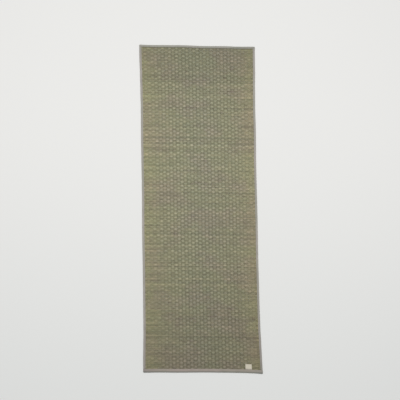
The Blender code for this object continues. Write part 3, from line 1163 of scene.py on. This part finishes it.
def tape_seam(first, last, width, raised, phase, axis, beside):
    """A tape's row of stitches on both of its faces. raised(along) is what lifts the tape there. On a
    slope a stitch keeps to its lower end, so no part of it stands off the cloth."""
    long, wide, high = STITCH_SIZE
    size = (long, wide, high) if axis == X_AXIS else (wide, long, high)

    def surfaces(along):
        sewing = sewn_surface(along, width - STITCH_INSET, width, phase)
        lowest = min(raised(along - long / 2), raised(along + long / 2))
        return TAPE_HEIGHT + sewing + lowest - STITCH_SINK, high

    return sewn_row(first, last, STITCH_PITCH, size, surfaces, axis, beside)


def side_seam(side, phase):
    """The stitches of a side tape, which nothing lifts."""

    def raised(along):
        return 0.0

    beside = side * (SIDE_EDGE + STITCH_INSET)
    return tape_seam(FOOT_EDGE, HEAD_EDGE, SIDE_TAPE_WIDTH, raised, phase, Y_AXIS, beside)


def end_seam(end, width, phase):
    """The stitches of an end tape, which its laps lift and, at the foot, the label."""

    def raised(along):
        return LAP_RISE * lap_share(along) + label_lift(along, end)

    reach = HALF_WIDTH - 2 * PINCH_RUN
    beside = end * (HALF_LENGTH - width + STITCH_INSET)
    return tape_seam(-reach, reach, width, raised, phase, X_AXIS, beside)


def thread_finish(name, colour):
    """Spun thread: a little fuzz in its tone and its bump."""
    finish, tree, shader = new_material(name, 0.8)
    fuzz = stretched_noise(tree, object_place(tree), (900.0, 900.0, 900.0))
    grey = grey_of(tree, maths(tree, "MULTIPLY_ADD", fuzz, 0.4, 0.8))
    paint(tree, shader, blended(tree, "MULTIPLY", 1.0, colour, grey), fuzz, 0.5, 0.05 * MM)
    return finish


tape_seams = side_seam(-1, LEFT_PHASE) + side_seam(1, RIGHT_PHASE)
tape_seams += end_seam(1, HEAD_TAPE_WIDTH, HEAD_PHASE) + end_seam(-1, FOOT_TAPE_WIDTH, FOOT_PHASE)
seam_thread = thread_finish("seam_thread", SEAM_GREY)
stitches = repeated("tape_stitches", STITCH, tape_seams, seam_thread)
print("stitches:", len(stitches.data.polygons) // len(STITCH.polygons))

# %% [markdown]
# The label is a small, bare piece of cream cotton, tucked under the foot tape and sewn down at its sides.
# It could be a flat plate, but it is cloth: its side hems are thicker, it ripples over the rush, and its
# upper corners have lifted a little. So it is a grid whose points are set by one height function.

# %% The shape of the label
LABEL_TUCK = 1.6 * MM
LABEL_HEM = 2.2 * MM
LABEL_HEM_RUN = 0.8 * MM
LABEL_HEM_RISE = 0.15 * MM
LABEL_RIPPLE = 0.10 * MM
LABEL_WAVES_ACROSS = 11.0
LABEL_WAVES_ALONG = 15.0
LABEL_RIPPLE_RUN = 5.0 * MM
LABEL_CORNER_LIFT = 0.5 * MM
LABEL_AIR = 0.06 * MM


def label_x(across):
    """Where that share of the label's width, from 0 to 1, lies across the mat."""
    return LABEL_FROM_MIDDLE + (across - 0.5) * LABEL_WIDTH


def label_height(across, along):
    """The height of the label's middle surface. across runs from 0 to 1, and along in metres from the
    foot tape's free edge. The label lies on the crests of the rush, also where the tape presses them."""
    crests = settled(label_x(across), FOOT_EDGE + along, MIDDLE_HEIGHT)
    from_side = min(across, 1 - across) * LABEL_WIDTH
    hem = LABEL_HEM_RISE * (1 - eased(from_side, LABEL_HEM, LABEL_HEM + LABEL_HEM_RUN))
    open_share = max(along, 0.0) / LABEL_LENGTH
    waves = 1 + sin(open_share * LABEL_WAVES_ALONG) * cos(across * LABEL_WAVES_ACROSS)
    ripple = LABEL_RIPPLE * waves * eased(along, 0.0, LABEL_RIPPLE_RUN)
    corner = LABEL_CORNER_LIFT * abs(2 * across - 1) ** 4 * open_share ** 4
    return float(crests + LABEL_AIR + LABEL_THICKNESS / 2 + hem + ripple + corner)


print("the label's middle lies at", round(label_height(0.5, LABEL_LENGTH / 2) / MM, 2), "mm")

# %% Make the label
LABEL_GRID = (28, 22)
LABEL_SEAMS = (0.045, 0.955)
LABEL_STITCH_PITCH = 2.6 * MM
LABEL_STITCH_SIZE = (0.25 * MM, 0.95 * MM, 0.20 * MM)
LABEL_CREAM = (0.615, 0.550, 0.468, 1.0)
# Painted shade on the label's lower end, where it goes under the foot tape.
LABEL_SHADE_NEAR_TAPE = (0.410, 0.368, 0.320, 1.0)
LABEL_SHADE_STRIPE = ("Y", 0.25, 0.13, LABEL_SHADE_NEAR_TAPE)
LABEL_THREAD = (0.70, 0.65, 0.56, 1.0)
LABEL_FLAT = (LABEL_WIDTH, LABEL_LENGTH + LABEL_TUCK)


def label_piece(finish):
    """The label, a grid of cloth with a Solidify."""
    columns, rows = LABEL_GRID
    grid = bmesh.new()
    bmesh.ops.create_grid(grid, x_segments=columns, y_segments=rows, size=0.5)
    for vertex in grid.verts:
        across = vertex.co.x + 0.5
        along = (vertex.co.y + 0.5) * (LABEL_LENGTH + LABEL_TUCK) - LABEL_TUCK
        real_x, real_y = laid(label_x(across), FOOT_EDGE + along)
        vertex.co = (real_x, real_y, label_height(across, along))
    mesh = mesh_of(grid, "bare_label")
    cloth_map(mesh, np.linspace(0, 1, columns + 1), np.linspace(0, 1, rows + 1))
    return thickened(new_piece("bare_label", mesh, finish), LABEL_THICKNESS)


def label_seam(across):
    """The stitches of the label's seam at that share of its width."""

    def surfaces(along):
        return [label_height(across, along - FOOT_EDGE) + LABEL_THICKNESS / 2]

    last = FOOT_EDGE + LABEL_LENGTH
    size = LABEL_STITCH_SIZE
    return sewn_row(FOOT_EDGE, last, LABEL_STITCH_PITCH, size, surfaces, Y_AXIS, label_x(across))


label_cotton = tape_finish("label_cotton", LABEL_CREAM, LABEL_CREAM, *LABEL_FLAT, stripe=LABEL_SHADE_STRIPE)
label = label_piece(label_cotton)
label_stitches = label_seam(LABEL_SEAMS[0]) + label_seam(LABEL_SEAMS[1])
label_thread = thread_finish("label_thread", LABEL_THREAD)
label_seams = repeated("label_stitches", STITCH, label_stitches, label_thread)
print("label at", [round(value, 3) for value in label.data.vertices[0].co])

# %% [markdown]
# Every piece is made, so it is time to say what each one stands for. The mat has no moving parts, and all
# of it rides on one body. The woven sections and the cords replace the rush solid, and each tape replaces
# its own solid.

# %% Fit the pieces to the frame
ROOT = "root"


def stands_for(piece, node):
    """The piece rides on the mat and replaces that solid."""
    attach(piece, ROOT)
    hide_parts(node)


for piece, (_, first, last) in zip(rush_sections, section_rows):
    stands_for(piece, "rush_panel")
stands_for(cords, "rush_panel")

tapes = (
    (left_tape, "side_tape_left", SIDE_FLAT),
    (right_tape, "side_tape_right", SIDE_FLAT),
    (head_tape, "end_tape_head", HEAD_FLAT),
    (foot_tape, "end_tape_foot", FOOT_FLAT),
)
for piece, node, flat in tapes:
    stands_for(piece, node)
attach(stitches, ROOT)

stands_for(label, "sewn_label")
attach(label_seams, ROOT)
